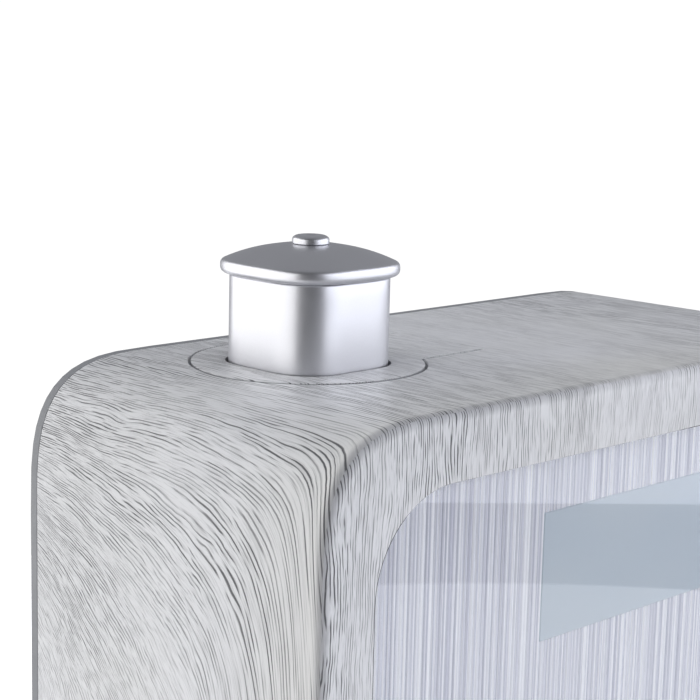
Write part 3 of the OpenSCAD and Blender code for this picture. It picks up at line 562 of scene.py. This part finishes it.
def wood_film():
    """Light grey printed wood film: dense broken dark strokes pressed into a satin skin."""
    g = Graph("wood_film")
    grain = g.node("ShaderNodeAttribute", attribute_name="grain").outputs["Vector"]
    across, along, behind = g.node("ShaderNodeSeparateXYZ", {0: grain}).outputs

    def strokes(source, per_across, per_along, seed, detail=2.0, roughness=0.5):
        """Noise drawn out along the grain."""
        u, v = g.math("MULTIPLY", source, per_across), g.math("MULTIPLY", along, per_along)
        return g.noise(g.vector(u, v, seed), detail, roughness)

    wander = g.spread(strokes(across, 0.03, 0.012, 3.1), 0.2, 0.8, -3.0, 3.0)
    waver = g.spread(strokes(across, 0.30, 0.11, 7.7, 1.0), 0.2, 0.8, -0.28, 0.28)
    line_at = g.math("ADD", across, g.math("ADD", wander, waver))
    bunch = g.math("MULTIPLY", strokes(line_at, 0.22, 0.035, 2.4), 8.0)
    phase = g.math("ADD", g.math("MULTIPLY", line_at, 5.8), bunch)
    comb = g.spread(g.math("SINE", phase), 0.05, 1.0)
    breaks = g.spread(strokes(line_at, 0.85, 0.085, 1.3, 2.0, 0.6), 0.40, 0.58)
    hairs = g.spread(strokes(line_at, 2.6, 0.13, 5.9, 2.0, 0.55), 0.48, 0.66)
    tone = g.spread(strokes(line_at, 0.07, 0.012, 9.2), 0.34, 0.66, 0.50, 1.0)
    bold = g.math("MULTIPLY", comb, breaks)

    either_side = g.node("ShaderNodeVectorMath", {0: g.place(1.0)}, operation="ABSOLUTE").outputs[0]
    away = g.node("ShaderNodeVectorMath", {0: either_side, 1: PRESSED_AT}, operation="DISTANCE")
    pressed = g.spread(away.outputs["Value"], 35.0, 120.0, 1.0, 0.0)
    edge = g.spread(g.math("ABSOLUTE", behind), 0.8, 4.2, 1.0, 0.0)
    depth = g.math("ADD", 0.27, g.math("MULTIPLY", pressed, 0.95))
    depth = g.math("ADD", depth, g.math("MULTIPLY", edge, 0.35))
    ink = g.math("ADD", g.math("MULTIPLY", bold, depth), g.math("MULTIPLY", hairs, 0.22))
    ink = g.math("MINIMUM", g.math("MULTIPLY", ink, tone), 1.0)

    cloud = g.noise(g.place(0.012), 2.0)
    ground = g.mix(g.spread(cloud, 0.35, 0.65), FILM, FILM_COOL)
    warm = g.math("MULTIPLY", g.spread(behind, 6.0, 45.0, 1.0, 0.0), g.spread(behind, -0.5, 0.5))
    ground = g.mix(g.math("MULTIPLY", warm, 0.5), ground, FILM_WARM)
    deep = g.math("MULTIPLY", pressed, g.spread(behind, 0.0, 10.0))
    ground = g.mix(g.math("MULTIPLY", deep, 0.5), ground, FILM_DEEP)
    # Painted shade: the ground darkens along the front edge of the sleeve and frame, more strongly near
    # the pressed spots.
    painted_edge_shade = g.math("MULTIPLY", edge, g.spread(pressed, 0.0, 1.0, 0.30, 0.62))
    ground = g.mix(painted_edge_shade, ground, FILM_EDGE_SHADE)
    g.drive("Base Color", g.mix(ink, ground, STROKE_INK))
    g.drive("Roughness", g.spread(ink, 0.0, 1.0, 0.34, 0.50))
    height = g.math("ADD", bold, g.math("MULTIPLY", hairs, 0.5))
    g.bump(g.math("MULTIPLY", height, -1.0), 0.13)
    return g.material


def clear_panel():
    """Clear window with a slight haze."""
    tint = (0.985, 0.988, 1.0, 1.0)
    g = Graph("clear_panel", Transmission_Weight=1.0, IOR=1.37, Base_Color=tint)
    haze = g.noise(g.place(0.02), 2.0)
    g.drive("Roughness", g.spread(haze, 0.3, 0.7, 0.0, 0.015))
    return g.material


def ribbed_sheet():
    """White sheet with a faint lilac shade that follows its upright ribs."""
    g = Graph("ribbed_sheet", Roughness=0.35)
    line = g.noise(g.place(0.9, 0.0, 0.0015), 3.0, 0.7)
    shade, lit = (0.58, 0.585, 0.67), (0.98, 0.985, 1.0)
    g.drive("Base Color", g.mix(g.spread(line, 0.35, 0.65), shade, lit))
    return g.material


def display_tint():
    """Blue-grey lens with a faint uneven fade."""
    g = Graph("display_lens")
    fade = g.spread(g.noise(g.place(0.012, 0.0, 0.03), 1.0), 0.35, 0.65)
    g.drive("Base Color", g.mix(fade, (0.53, 0.60, 0.655), (0.55, 0.615, 0.66)))
    g.drive("Roughness", g.spread(g.noise(g.place(0.03), 2.0), 0.3, 0.7, 0.28, 0.36))
    return g.material


def circuit_board():
    """Green solder mask over copper tracks, with pale pads."""
    g = Graph("circuit_board")
    tracks = g.voronoi(g.place(0.28, 0.28, 0.28), "DISTANCE_TO_EDGE")
    pads = g.voronoi(g.place(0.45, 0.45, 0.45))
    mask = g.mix(g.spread(tracks, 0.03, 0.07), (0.06, 0.22, 0.09), (0.02, 0.12, 0.05))
    g.drive("Base Color", g.mix(g.spread(pads, 0.10, 0.13, 1.0, 0.0), mask, (0.55, 0.54, 0.50)))
    g.drive("Roughness", g.spread(tracks, 0.03, 0.07, 0.38, 0.28))
    g.bump(g.spread(tracks, 0.03, 0.07, 1.0, 0.0), 0.03)
    return g.material


def filter_foam():
    """Black open-cell foam."""
    g = Graph("filter_foam", Sheen_Weight=0.2)
    cells = g.voronoi(g.place(0.9))
    # Painted shade: the hollows of the cells are darker than the struts.
    hollow_shade, strut = (0.015, 0.015, 0.017), (0.07, 0.07, 0.075)
    g.drive("Base Color", g.mix(g.spread(cells, 0.1, 0.6), hollow_shade, strut))
    g.drive("Roughness", g.spread(cells, 0.0, 0.8, 0.95, 0.75))
    g.bump(cells, 0.6)
    return g.material


def windings():
    """Varnished copper wire, turn beside turn."""
    g = Graph("motor_windings", Metallic=0.7)
    turns = g.noise(g.place(0.4, 3.2, 0.4), 1.0)
    # Painted shade: the creases between the turns are darker than the wire.
    groove_shade, wire = (0.24, 0.09, 0.03), (0.62, 0.27, 0.11)
    g.drive("Base Color", g.mix(g.spread(turns, 0.35, 0.65), groove_shade, wire))
    g.drive("Roughness", g.spread(turns, 0.3, 0.7, 0.42, 0.26))
    g.bump(turns, 0.15)
    return g.material


def tank_plastic():
    """Milky see-through blow moulding."""
    g = Graph("tank_plastic", Transmission_Weight=0.65, IOR=1.49)
    flow = g.noise(g.place(0.02, 0.02, 0.05), 3.0)
    thick, thin = (0.78, 0.86, 0.90), (0.86, 0.92, 0.95)
    g.drive("Base Color", g.mix(g.spread(flow, 0.35, 0.65), thick, thin))
    g.drive("Roughness", g.spread(flow, 0.3, 0.7, 0.26, 0.38))
    return g.material


def glass_cell():
    """Grey-green display cell under glass, with faint rows."""
    g = Graph("lcd_cell", Coat_Weight=0.6)
    rows = g.noise(g.place(0.3, 0.3, 2.4), 1.0)
    dark, light = (0.30, 0.36, 0.38), (0.36, 0.42, 0.44)
    g.drive("Base Color", g.mix(g.spread(rows, 0.3, 0.7), dark, light))
    g.drive("Roughness", g.spread(rows, 0.3, 0.7, 0.22, 0.34))
    return g.material


def make_materials():
    """One material for each material slot of the record, and one for the film."""
    return {
        "wood_film": wood_film(),
        "grey_plastic": moulded("grey_plastic", (0.245, 0.25, 0.262), 0.48, 1.8, 0.03),
        "black_plastic": moulded("black_plastic", (0.022, 0.022, 0.025), 0.5, 2.0, 0.03),
        "white_plastic": moulded("white_plastic", (0.78, 0.79, 0.81), 0.4, 1.4, 0.012, 0.03),
        "orange_plastic": moulded("orange_plastic", (0.75, 0.26, 0.03), 0.42),
        "clear_panel": clear_panel(),
        "display_lens": display_tint(),
        "lcd_cell": glass_cell(),
        "tank_plastic": tank_plastic(),
        "satin_metal": metal("satin_metal", (0.78, 0.78, 0.81), 0.36, (3.0, 3.0, 3.0)),
        "bare_aluminium": metal("bare_aluminium", (0.74, 0.74, 0.76), 0.36, (0.15, 3.0, 3.0), 0.02),
        "rubber": moulded("rubber", (0.035, 0.035, 0.038), 0.72, 1.2, 0.04),
        "steel": metal("steel", (0.62, 0.62, 0.64), 0.28, (2.0, 2.0, 2.0), 0.01),
        "piezo_ceramic": metal("piezo_ceramic", (0.66, 0.65, 0.61), 0.42, (0.8, 0.8, 0.8), 0.01),
        "magnet": moulded("magnet", (0.06, 0.06, 0.065), 0.55, 1.5, 0.03),
        "brass": metal("brass", (0.70, 0.47, 0.20), 0.27, (0.4, 0.4, 4.0), 0.01),
        "motor_windings": windings(),
        "circuit_board": circuit_board(),
        "filter_foam": filter_foam(),
        "cable_jacket": moulded("cable_jacket", (0.30, 0.29, 0.28), 0.5, 1.2, 0.02),
        "ribbed_sheet": ribbed_sheet(),
    }


# ---------------------------------------------------------------- pieces
def edge_round(radius, points):
    """(inset, rise) pairs round an edge, from its face to its side."""
    angles = np.linspace(0, math.pi / 2, points)
    return [(radius * (1 - math.sin(a)), radius * (1 - math.cos(a))) for a in angles]


def circle(angles, radius):
    """Polar radius of a circle, for each of the angles."""
    return np.full(len(angles), float(radius))


def turned_skin(angles, levels, **caps):
    """Skin about the nozzle's axis through (polar radius, z) levels."""
    return loft([polar_ring(angles, radius, z) for radius, z in levels], **caps)


def solid(name, rings):
    """Closed solid between its first ring and its last."""
    return make_piece(name, loft(rings, cap_first=True, cap_last=True))


def disc_tool(radius, z0, z1):
    """Round solid about the nozzle's axis."""
    return solid("tool", [polar_ring(ROUND, circle(ROUND, radius), z) for z in (z0, z1)])


def keyhole_tool(levels):
    """Closed solid of the keyhole outline through (grow, z) levels."""
    rings = [polar_ring(KEYHOLE, keyhole_r(KEYHOLE, grow), z) for grow, z in levels]
    return solid("tool", rings)


def body_depth(x, z):
    """How far a point lies inside the body's outline, in millimetres."""
    dx = max(abs(x) - ARC_START, 0) / CORNER
    dz = max(abs(z - MID_Z) - (TOP - BOTTOM) / 2 + CORNER, 0) / CORNER
    if dx == 0:
        return min(TOP - z, z - BOTTOM)
    if dz == 0:
        return HALF_W - abs(x)
    return (1 - (dx ** CORNER_N + dz ** CORNER_N) ** (1 / CORNER_N)) * CORNER


def make_shell(material, lining, fields):
    """Sleeve and front frame in one moulding, with the keyhole seat in its top."""
    lip, chamfer, rows, bite = 0.12, 0.3, 30, 0.4
    rings = [at_y(window_loop(0), FRONT + WALL), at_y(window_loop(0), FRONT + lip)]
    rings += [at_y(window_loop(lip * 0.3), FRONT + lip * 0.3), at_y(window_loop(lip), FRONT)]
    rings += [at_y(body_loop(inset), FRONT + rise) for inset, rise in edge_round(EDGE_R, 9)]
    sleeve = np.linspace(FRONT + EDGE_R, SHELL_BACK - chamfer, rows + 1)[1:]
    rings += [at_y(body_loop(0), y) for y in sleeve]
    rings += [at_y(body_loop(chamfer), SHELL_BACK), at_y(body_loop(WALL), SHELL_BACK)]
    rings += [at_y(body_loop(WALL), FRONT + WALL)]
    shell = make_piece("outer_shell_film", loft(rings, wrap=True))
    ledge = [(LEDGE_RIM, LEDGE_Z - LEDGE_T), (LEDGE_RIM, LEDGE_Z + bite)]
    combine(shell, keyhole_tool(ledge), "UNION")
    for side in (-1, 1):
        for z in SCREW_ROWS:
            x = side * SCREW_X + BOSS_R * np.cos(ROUND)
            ring = np.column_stack([x, z + BOSS_R * np.sin(ROUND)])
            boss = solid("tool", [at_y(ring, BOSS_FRONT), at_y(ring, SHELL_BACK - 0.01)])
            combine(shell, boss, "UNION")
    seat = [(0.0, LEDGE_Z), (0.0, TOP - 0.9), (0.3, TOP - 0.28), (0.7, TOP + 0.3)]
    combine(shell, keyhole_tool(seat), "DIFFERENCE")
    combine(shell, disc_tool(LEDGE_R, LEDGE_Z - 6, LEDGE_Z + 1), "DIFFERENCE")
    lay_grain(shell, fields)
    stand_in(shell, "outer_shell", material, lining)
    for face in shell.data.polygons:
        x, y, z = face.center / MM
        face.material_index = int(y > FRONT + WALL / 2 and body_depth(x, z) > 0.8)


def make_top_cover(material, groove_shade_grey, fields):
    """Keyhole-shaped cover with a square hole for the nozzle and a locating skirt."""
    underside = LEDGE_Z + 0.1
    hole_half, hole_r = (TUBE_W + 0.8) / 2, TUBE_R - 1
    outer = [(0.0, None), (0.0, 0.35 - PROUD), (0.1, 0.1 - PROUD), (0.4, -PROUD)]
    inner = [(0.4, -PROUD), (0.1, 0.12 - PROUD), (0.0, 0.45), (0.0, None)]

    def ring(radius, depth):
        """Ring at a depth under the shell's skin, or on the underside where it is None."""
        skin = top_z(AXIS_X + radius * np.cos(KEYHOLE))
        return polar_ring(KEYHOLE, radius, underside if depth is None else skin - depth)

    rings = [ring(keyhole_r(KEYHOLE, -COVER_GAP - inset), depth) for inset, depth in outer]
    hole = [rounded_box_r(KEYHOLE, hole_half + grow, hole_half + grow, hole_r + grow)
            for grow, _ in inner]
    edge = keyhole_r(KEYHOLE, -COVER_GAP - outer[-1][0])
    rings += [ring(edge + (hole[0] - edge) * share, -PROUD) for share in (0.25, 0.5, 0.75)]
    rings += [ring(radius, depth) for radius, (_, depth) in zip(hole, inner)]
    low, inside, ease = cover_low.z, SKIRT_R - SKIRT_T, 0.4
    skirt = [(SKIRT_R, low + ease), (SKIRT_R, underside + 0.1), (inside, underside + 0.1)]
    skirt += [(inside, low + ease), (inside + ease, low), (SKIRT_R - ease, low)]
    skirt = [(circle(ROUND, radius), z) for radius, z in skirt]
    skins = loft(rings, wrap=True), turned_skin(ROUND, skirt, wrap=True)
    cover = make_piece("keyhole_cover_film", *skins)
    lay_grain(cover, fields)
    stand_in(cover, "top_cover", material, groove_shade_grey)
    # Painted shade: the upright walls of the disc and of the nozzle hole take the dark grey plastic, so
    # the groove round the disc reads as a dark line; the tab's walls keep the film.
    for face in cover.data.polygons:
        out = math.hypot(face.center.x / MM - AXIS_X, face.center.y / MM - AXIS_Y)
        face.material_index = int(abs(face.normal.z) < 0.2 and out < COVER_R)


def make_nozzle(material):
    """Square tube with round corners and a softened rim, a floor and a round spigot."""
    def square(inset):
        return rounded_box_r(ROUND, TUBE_W / 2 - inset, TUBE_W / 2 - inset, TUBE_R - inset)

    top, low, floor_top = tube_high.z, tube_low.z, TUBE_BASE + 2.5
    bore = SPIGOT_R - SPIGOT_WALL
    levels = [(square(0.5), TUBE_BASE), (square(0.12), TUBE_BASE + 0.15)]
    levels += [(square(0), TUBE_BASE + 0.5)]
    levels += [(square(0), z) for z in np.linspace(TOP - 2, top - 0.6, 8)]
    levels += [(square(0.05), top - 0.3), (square(0.25), top - 0.06), (square(0.5), top)]
    levels += [(square(TUBE_WALL - 0.3), top), (square(TUBE_WALL), top - 0.3)]
    levels += [(square(TUBE_WALL), floor_top)]
    spigot = [(bore + 0.4, floor_top), (bore, floor_top - 0.4), (bore, low + 0.3)]
    spigot += [(bore + 0.3, low), (SPIGOT_R - 0.5, low), (SPIGOT_R, low + 0.5)]
    spigot += [(SPIGOT_R, TUBE_BASE)]
    levels += [(circle(ROUND, radius), z) for radius, z in spigot]
    nozzle = make_piece("nozzle_tube_satin", turned_skin(ROUND, levels, wrap=True))
    stand_in(nozzle, "mist_nozzle", material)


def make_lid(material):
    """Squircle lid with a rounded rim and a shallow dome over a plug skirt and a pocket."""
    half, top, low = (lid_high.x - lid_low.x) / 2, lid_high.z, lid_low.z
    angles = np.radians(np.arange(0, 360, 2.0))

    def rim(inset):
        return superellipse_r(angles, half - inset, RIM_N)

    def square(inset):
        side, radius = TUBE_W / 2 - PLUG_INSET - inset, TUBE_R - PLUG_INSET - inset
        return rounded_box_r(angles, side, side, radius)

    levels = [(square(0), RIM_LOW)]
    levels += [(rim(inset), RIM_LOW + rise) for inset, rise in edge_round(RIM_UNDER, 7)]
    for a in np.linspace(0, RIM_TURN, 6):
        z = RIM_HIGH - RIM_OVER * (1 - math.sin(a))
        levels.append((rim(RIM_OVER * (1 - math.cos(a))), z))
    edge, edge_z = levels[-1]
    for share in np.linspace(0.96, 0.08, 14):
        radius = edge * share + circle(angles, LID_BORE) * (1 - share)
        levels.append((radius, edge_z + (top - edge_z) * (1 - share ** DOME_POWER)))
    under = [(LID_BORE, top - 0.05), (LID_BORE, POCKET_Z), (POCKET_R - 0.5, POCKET_Z)]
    under += [(POCKET_R, POCKET_Z - 0.5), (POCKET_R, low + 0.4), (POCKET_R + 0.4, low)]
    levels += [(circle(angles, radius), z) for radius, z in under]
    levels += [(square(0.6), low), (square(0), low + 0.6)]
    lid = make_piece("nozzle_lid_satin", turned_skin(angles, levels, wrap=True))
    stand_in(lid, "nozzle_lid", material)


def make_knob(material):
    """Turned button with a full round edge and a dimple in its crown."""
    outer, low, high = (knob_high.x - knob_low.x) / 2, knob_low.z, knob_high.z
    crown, upright, dimple_r, dimple = 2.3, 1.2, 2.2, 0.8
    levels = [(1.3, low), (outer - 0.2, low), (outer, low + 0.2)]
    for a in np.linspace(0, math.pi / 2, 12):
        z = low + upright + (high - low - upright) * math.sin(a)
        levels.append((outer - crown * (1 - math.cos(a)), z))
    for share in (0.9, 0.7, 0.45, 0.2):
        levels.append((dimple_r * share, high - dimple * (1 - share ** 2)))
    angles = np.radians(np.arange(0, 360, 5.0))
    rings = [polar_ring(angles, circle(angles, radius), z) for radius, z in levels]
    stand_in(solid("lid_knob_turned", rings), "lid_knob", material)


def make_window(material):
    """Clear panel, polished flat, with a hidden flange behind the frame."""
    gap, ease, flange_y = 0.03, 0.1, FRONT + WALL
    rings = [at_y(window_loop(-gap - ease), FRONT), at_y(window_loop(-gap), FRONT + ease)]
    rings += [at_y(window_loop(-gap), flange_y), at_y(window_loop(FLANGE), flange_y)]
    rings += [at_y(window_loop(FLANGE), window_high.y)]
    window = solid("front_window_clear", rings)
    window.visible_shadow = False
    stand_in(window, "front_window", material)


def lens_ring(grow, y):
    """Rectangular ring round the display lens."""
    left, right = lens_low.x - grow, lens_high.x + grow
    low, high = lens_low.z - grow, lens_high.z + grow
    return at_y(np.array([(left, low), (right, low), (right, high), (left, high)]), y)


def make_sheet(material):
    """White sheet whose face is a run of fine upright ribs of uneven width and height."""
    random = np.random.default_rng(11)
    half, step, lens_gap = sheet_high.x, 0.2, 0.05
    face, back = sheet_low.y + 0.5, sheet_high.y
    x = np.arange(-half, half + step / 2, step)
    relief = np.zeros_like(x)
    edge = -half
    for _ in range(int(2 * half / RIB_PITCH) + 1):
        widths = random.uniform(0.8, 1.2, RIBS_PER_PITCH)
        heights = random.uniform(0.28, 0.46, RIBS_PER_PITCH)
        heights[0] = 0.5
        for width, height in zip(widths / widths.sum() * RIB_PITCH, heights):
            t = (x - edge) / width
            rib = height * np.sin(math.pi * np.clip(t, 0, 1))
            relief += np.where((t >= 0) & (t < 1), rib, 0)
            edge += width
    corner = WINDOW_R + FLANGE
    over = np.clip(np.abs(x) - (half - corner), 0, corner)
    reach = WINDOW_H / 2 + FLANGE - (corner - np.sqrt(corner ** 2 - over ** 2))
    front_y, back_y = face - relief, np.full_like(x, back)
    strips = [np.column_stack([x, y, MID_Z + side * reach])
              for y, side in ((front_y, 1), (front_y, -1), (back_y, -1), (back_y, 1))]
    count, faces = len(x), []
    for k in range(4):
        a, b = k * count, (k + 1) % 4 * count
        faces += [(a + i, a + i + 1, b + i + 1, b + i) for i in range(count - 1)]
    first = [k * count for k in range(4)]
    faces += [tuple(first), tuple(i + count - 1 for i in first)[::-1]]
    sheet = make_piece("ribbed_sheet_lined", (np.vstack(strips), faces), sharp=60.0)
    cutter = solid("tool", [lens_ring(lens_gap, y) for y in (face - 2, back + 2)])
    combine(sheet, cutter, "DIFFERENCE", 60.0)
    stand_in(sheet, "ribbed_panel", material)


def make_lens(material):
    """Tinted display lens with eased edges."""
    ease = 0.25
    levels = ((-ease, lens_low.y), (0, lens_low.y + ease), (0, lens_high.y))
    lens = solid("display_lens_tinted", [lens_ring(grow, y) for grow, y in levels])
    stand_in(lens, "display_lens", material)


def dress_cad_nodes(materials):
    """Gives every CAD node that still shows its slot's material and slightly eased edges."""
    for name, node in frame["nodes"].items():
        if name in replaced:
            continue
        node.data.materials.clear()
        node.data.materials.append(materials[slot_of[name]])
        for face in node.data.polygons:
            face.material_index = 0
        weld = node.modifiers.new("weld", "WELD")
        weld.merge_threshold = 0.002 * MM
        ease = node.modifiers.new("ease", "BEVEL")
        ease.width = EASED.get(name, EASED_ELSEWHERE) * MM
        ease.segments = 2
        ease.limit_method = "ANGLE"
        ease.angle_limit = math.radians(40)
        ease.harden_normals = True
        if name == "rear_cover":     # its big flat face has long thin triangles
            even = node.modifiers.new("even", "WEIGHTED_NORMAL")
            even.weight = 100
            even.keep_sharp = True


# ---------------------------------------------------------------- studio
FLOOR_R = 690.0
FLOOR_GLOW, FLOOR_WHITE = 0.38, 0.75     # the floor's own light, and what the camera sees of it
ROOM_WHITE = 1.05                        # the room as the camera sees it
ROOM_DARK, ROOM_LIGHT = 0.10, 0.30       # and as it lights the object, from behind and ahead
WHITE, COOL, COOLER = (1.0, 1.0, 1.0), (0.92, 0.945, 1.0), (0.90, 0.925, 1.0)


def soft_light(name, at, towards, width, height, power, colour=WHITE, mirrored=True):
    """Soft box; one that isn't mirrored doesn't show in glossy surfaces."""
    data = bpy.data.lights.new(name, "AREA")
    data.shape = "RECTANGLE"
    data.size, data.size_y = width, height
    data.energy = power
    data.color = colour
    light = bpy.data.objects.new(name, data)
    light.visible_glossy = mirrored
    light.location = at
    light.rotation_mode = "QUATERNION"
    aim = Vector(towards) - Vector(at)
    light.rotation_quaternion = aim.to_track_quat("-Z", "Y")
    bpy.context.scene.collection.objects.link(light)


def make_floor():
    """Pale round table top."""
    angles = np.radians(np.arange(0, 360, 3))
    edge = np.column_stack([np.cos(angles), np.sin(angles), np.zeros(len(angles))]) * FLOOR_R
    floor = make_piece("floor", loft([edge * share for share in (1.0, 0.5, 0.02)], cap_last=True))
    g = Graph("floor_paper", Roughness=0.9, Emission_Color=(*WHITE, 1.0))
    seen = g.node("ShaderNodeLightPath").outputs["Is Camera Ray"]
    g.drive("Emission Strength", g.spread(seen, 0.0, 1.0, FLOOR_GLOW, FLOOR_WHITE))
    mottle = g.noise(g.place(0.004), 3.0)
    g.drive("Base Color", g.mix(g.spread(mottle, 0.3, 0.7), (0.90, 0.90, 0.90), (0.93, 0.93, 0.93)))
    floor.data.materials.append(g.material)


def make_room():
    """A white room for the camera, and a dimmer one, lighter ahead of it, for everything else."""
    world = bpy.data.worlds.new("room")
    bpy.context.scene.world = world
    world.use_nodes = True
    nodes, links = world.node_tree.nodes, world.node_tree.links
    shown = nodes["Background"]
    shown.inputs["Color"].default_value = (*WHITE, 1.0)
    shown.inputs["Strength"].default_value = ROOM_WHITE
    fill = nodes.new("ShaderNodeBackground")
    fill.inputs["Color"].default_value = (0.92, 0.94, 1.0, 1.0)
    ahead = nodes.new("ShaderNodeVectorMath")
    ahead.operation = "DOT_PRODUCT"
    ahead.inputs[1].default_value = (math.sin(YAW), math.cos(YAW), 0.0)
    room = nodes.new("ShaderNodeMapRange")
    room.interpolation_type = "SMOOTHSTEP"
    limits = {"From Min": -0.75, "From Max": 0.6, "To Min": ROOM_DARK, "To Max": ROOM_LIGHT}
    for socket, value in limits.items():
        room.inputs[socket].default_value = value
    where = nodes.new("ShaderNodeTexCoord")
    links.new(where.outputs["Generated"], ahead.inputs[0])
    links.new(ahead.outputs["Value"], room.inputs["Value"])
    links.new(room.outputs[0], fill.inputs["Strength"])
    mix = nodes.new("ShaderNodeMixShader")
    path = nodes.new("ShaderNodeLightPath")
    links.new(path.outputs["Is Camera Ray"], mix.inputs[0])
    links.new(fill.outputs[0], mix.inputs[1])
    links.new(shown.outputs[0], mix.inputs[2])
    links.new(mix.outputs[0], nodes["World Output"].inputs[0])


def make_studio():
    """Floor, room and three soft boxes, all plain and pale."""
    make_floor()
    make_room()
    soft_light("left_box", (-0.90, 0.62, 0.44), (0.0, 0.0, 0.36), 2.7, 1.5, 16.6)
    soft_light("right_box", (0.74, -0.86, 0.597), (0.0, 0.0, 0.48), 2.6, 1.36, 16.8, COOLER)
    soft_light("top_box", (-0.25, -0.15, 1.6), (0.0, 0.0, 0.2), 1.1, 1.1, 6.8, COOL, mirrored=False)
    view = bpy.context.scene.view_settings
    view.view_transform = "Standard"
    view.look = "None"


make_camera()
make_studio()
material_of = make_materials()
grain = grain_fields()
make_shell(material_of["wood_film"], material_of["white_plastic"], grain)
make_top_cover(material_of["wood_film"], material_of["grey_plastic"], grain)
make_nozzle(material_of["satin_metal"])
make_lid(material_of["satin_metal"])
make_knob(material_of["satin_metal"])
make_window(material_of["clear_panel"])
make_sheet(material_of["ribbed_sheet"])
make_lens(material_of["display_lens"])
dress_cad_nodes(material_of)
